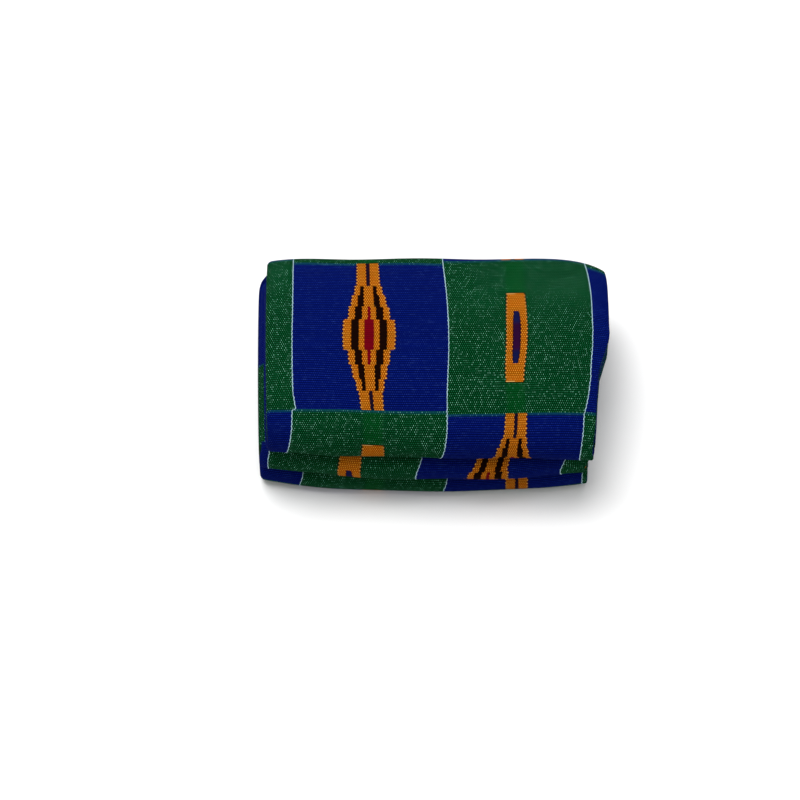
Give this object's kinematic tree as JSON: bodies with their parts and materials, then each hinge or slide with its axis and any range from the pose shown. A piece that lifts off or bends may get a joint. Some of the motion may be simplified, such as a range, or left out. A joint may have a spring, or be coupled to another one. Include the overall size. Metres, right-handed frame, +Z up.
{
  "type": "folded kente cloth",
  "caption": "Strip-woven kente cloth folded both ways into a small thick bundle with soft rounded lips, lying flat.",
  "frame": {"origin": "under the middle of the bundle, on the surface it lies on", "axes": "+X to the right along the bundle's long side, +Y to the back, +Z up through its thickness"},
  "size_m": [0.2342, 0.148, 0.0773],
  "materials": {
    "cloth": "matte strip weave in blue and green blocks"
  },
  "bodies": {
    "root": {"cloth": "cloth"}
  },
  "joints": []
}
